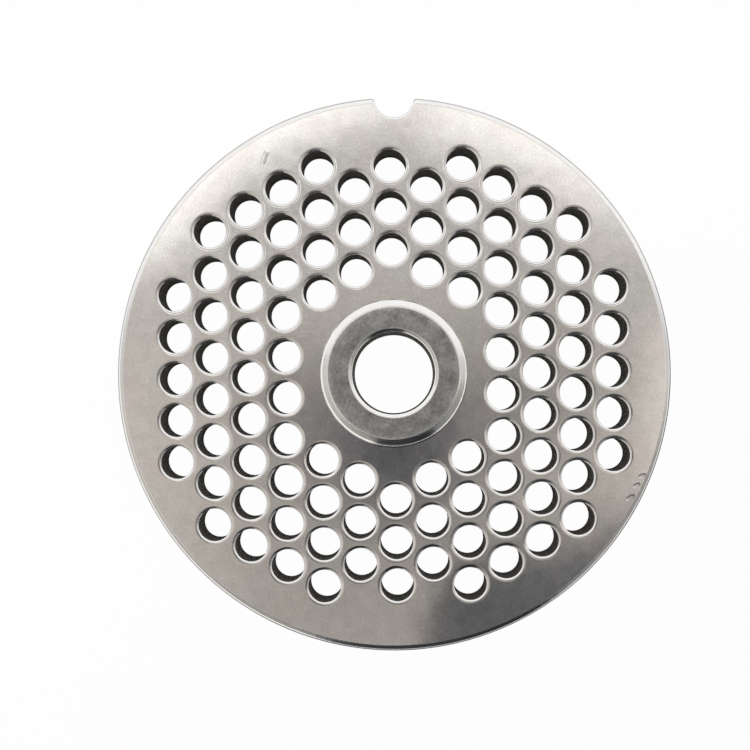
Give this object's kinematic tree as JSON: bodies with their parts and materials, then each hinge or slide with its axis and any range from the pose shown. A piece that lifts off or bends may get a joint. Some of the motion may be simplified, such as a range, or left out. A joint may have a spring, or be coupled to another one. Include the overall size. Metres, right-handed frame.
{
  "type": "meat grinder plate",
  "caption": "Round drilled meat grinder plate with a raised hub, a central bore, a field of round mincing holes and a half-round key notch in its rim.",
  "frame": {"origin": "centre of the bore, on the flat cutting face that the plate lies on", "axes": "+Z along the bore, out of the hub; +Y from the bore to the key notch in the rim"},
  "size_m": [0.0824, 0.0823, 0.011],
  "materials": {
    "satin_steel": "fine ground satin stainless steel, polished on the bevels of the hub, bore and rim"
  },
  "bodies": {
    "root": {"grinder_plate": "satin_steel"}
  },
  "joints": []
}
